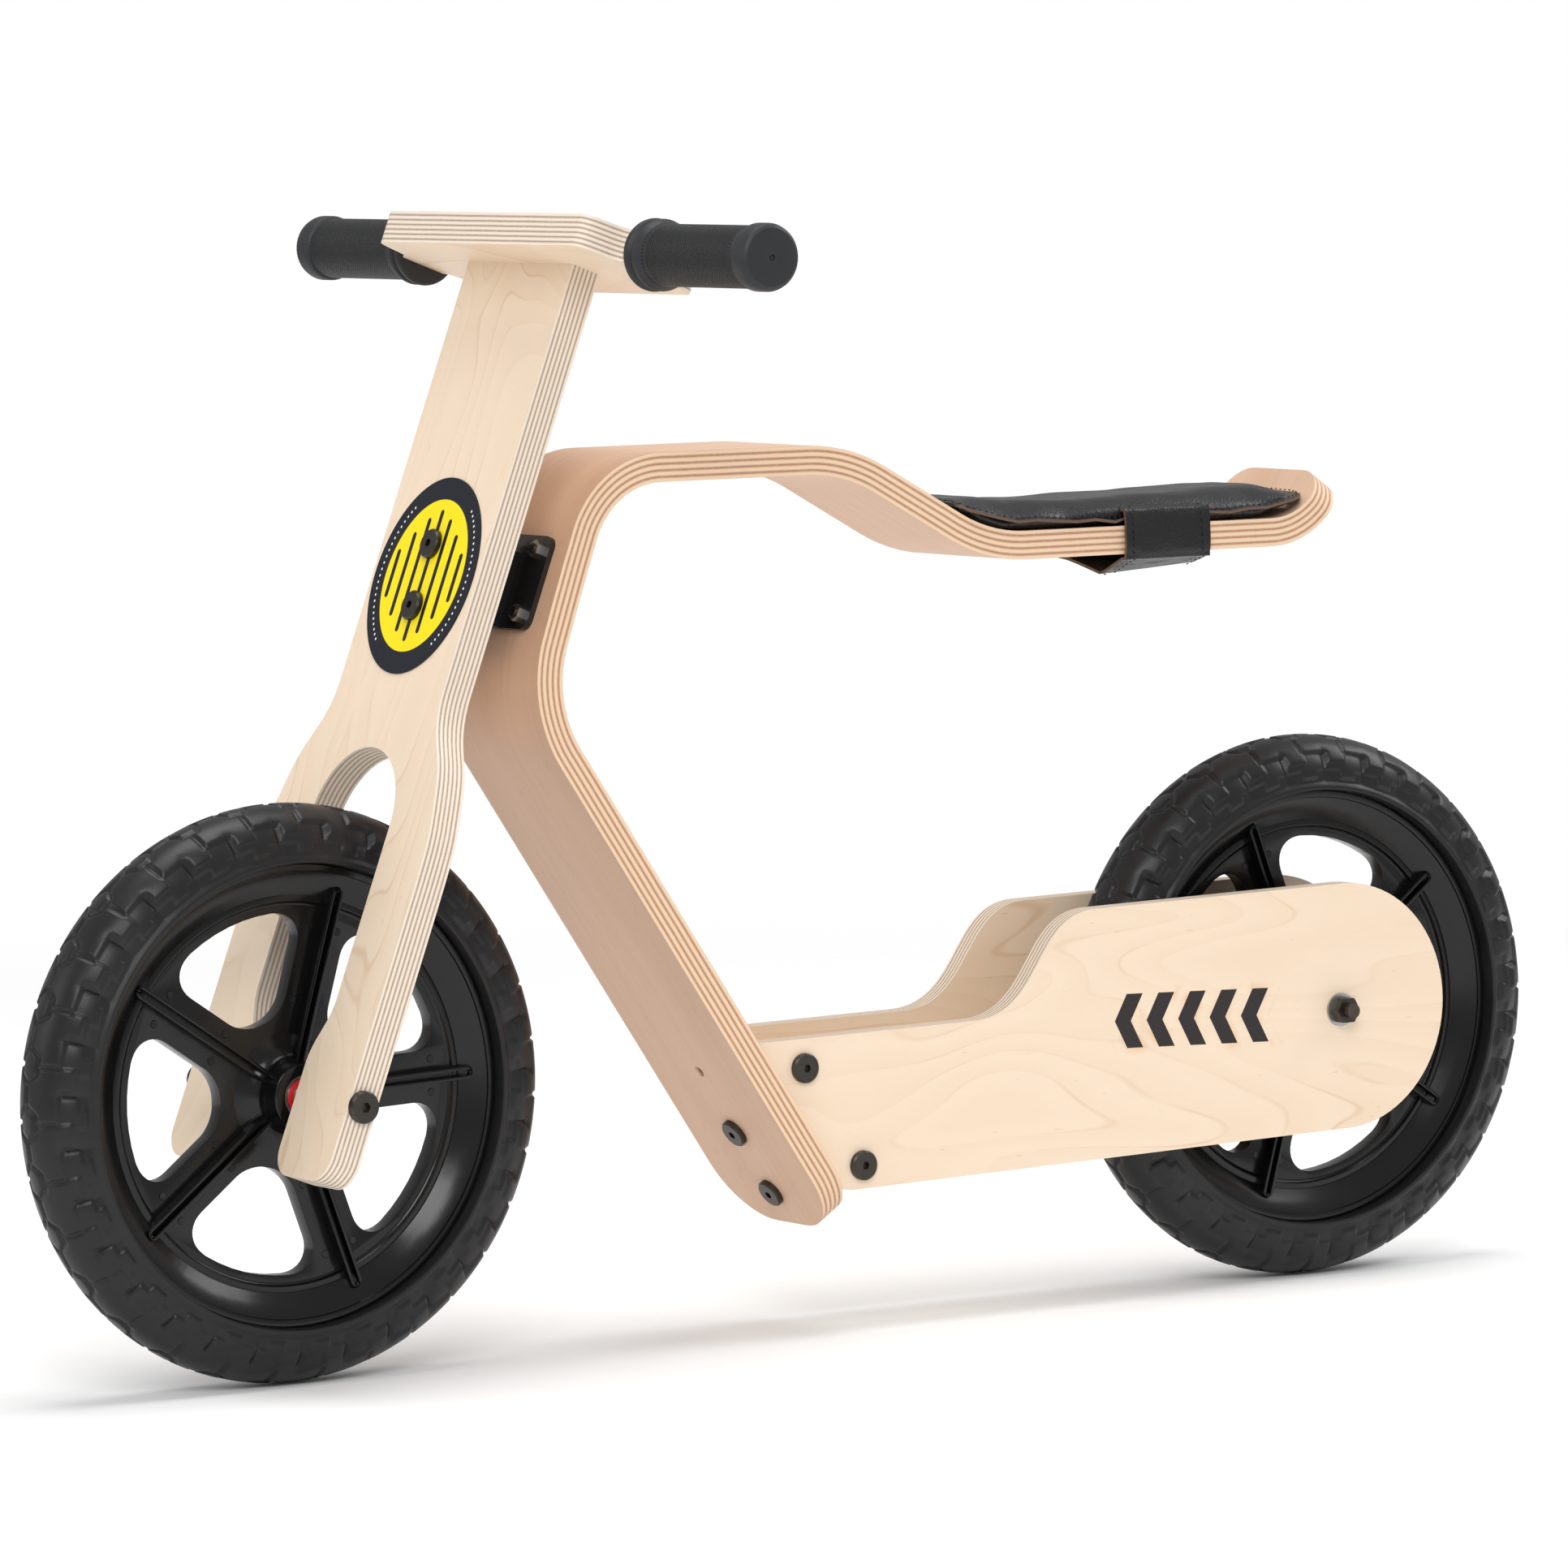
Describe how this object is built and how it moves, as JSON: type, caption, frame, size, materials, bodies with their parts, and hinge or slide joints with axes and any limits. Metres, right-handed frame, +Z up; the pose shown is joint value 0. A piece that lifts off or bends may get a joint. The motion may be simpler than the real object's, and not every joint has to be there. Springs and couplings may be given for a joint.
{
  "type": "balance bike",
  "caption": "Wooden child's balance bike: bent ply frame with a padded seat, flat ply fork and handlebar, and foam tyres on spoked plastic rims.",
  "frame": {"origin": "on the floor, midway between the two wheel axles, in the bike's middle plane", "axes": "+X forward to the front wheel, +Y to the rider's left, +Z up"},
  "size_m": [0.934, 0.432, 0.5878],
  "materials": {
    "frame_ply": "bent beech ply, clear satin lacquer, light and dark layers on its edges",
    "birch_ply": "birch ply, clear satin lacquer, layers showing on its edges",
    "yellow_steel": "yellow powder coat, semi-gloss",
    "dark_steel": "black oxide with worn bronze edges",
    "zinc_steel": "zinc plated",
    "black_steel": "black powder coat",
    "bush_plastic": "moulded nylon",
    "badge_film": "printed film, dark ring round a yellow field",
    "grip_rubber": "knurled black rubber",
    "wheel_plastic": "moulded black, semi-gloss",
    "tyre_foam": "matte black foam",
    "bearing_steel": "ground steel",
    "seal_rubber": "bright red rubber",
    "seat_cover": "soft black leatherette, stitched",
    "strap_cover": "soft black leatherette, hook and loop inside"
  },
  "bodies": {
    "frame": {"bent_frame": "frame_ply", "left_stay": "birch_ply", "right_stay": "birch_ply", "stay_bracket": "yellow_steel", "frame_bolts": "dark_steel", "frame_nuts": "zinc_steel", "stay_bolts": "dark_steel", "stay_nuts": "zinc_steel", "seat_pad": "seat_cover", "seat_strap": "strap_cover", "rear_axle_bolt": "dark_steel", "rear_axle_washers": "zinc_steel", "rear_axle_nut": "dark_steel", "rear_axle_spacers": "zinc_steel", "pivot_housing": "black_steel", "pivot_bushes": "bush_plastic", "housing_bolts": "dark_steel", "housing_nuts": "zinc_steel", "rear_bearing_inner_rings": "bearing_steel", "rear_hub_tube": "zinc_steel"},
    "steering": {"fork": "birch_ply", "fork_hinge": "black_steel", "fork_bolts": "dark_steel", "fork_nuts": "zinc_steel", "pivot_pin": "zinc_steel", "pivot_nut": "zinc_steel", "badge": "badge_film", "handlebar": "birch_ply", "handlebar_bolts": "dark_steel", "handlebar_barrel_nuts": "zinc_steel", "left_grip": "grip_rubber", "right_grip": "grip_rubber", "front_axle_bolt": "dark_steel", "front_axle_nut": "dark_steel", "front_axle_spacers": "zinc_steel", "front_bearing_inner_rings": "bearing_steel", "front_hub_tube": "zinc_steel"},
    "front_wheel": {"front_tyre": "tyre_foam", "front_rim": "wheel_plastic", "front_bearing_outer_rings": "bearing_steel", "front_bearing_balls": "bearing_steel", "front_bearing_seals": "seal_rubber"},
    "rear_wheel": {"rear_tyre": "tyre_foam", "rear_rim": "wheel_plastic", "rear_bearing_outer_rings": "bearing_steel", "rear_bearing_balls": "bearing_steel", "rear_bearing_seals": "seal_rubber"}
  },
  "joints": [
    {"name": "steering_turn", "type": "hinge", "parent": "frame", "child": "steering", "pos_m": [0.19578, 0, 0.39388], "axis": [-0.3584, 0, 0.9336], "range_deg": [-35, 35]},
    {"name": "front_wheel_spin", "type": "hinge", "parent": "steering", "child": "front_wheel", "pos_m": [0.32, 0, 0.147], "axis": [0, 1, 0], "continuous": true},
    {"name": "rear_wheel_spin", "type": "hinge", "parent": "frame", "child": "rear_wheel", "pos_m": [-0.32, 0, 0.147], "axis": [0, 1, 0], "continuous": true}
  ]
}
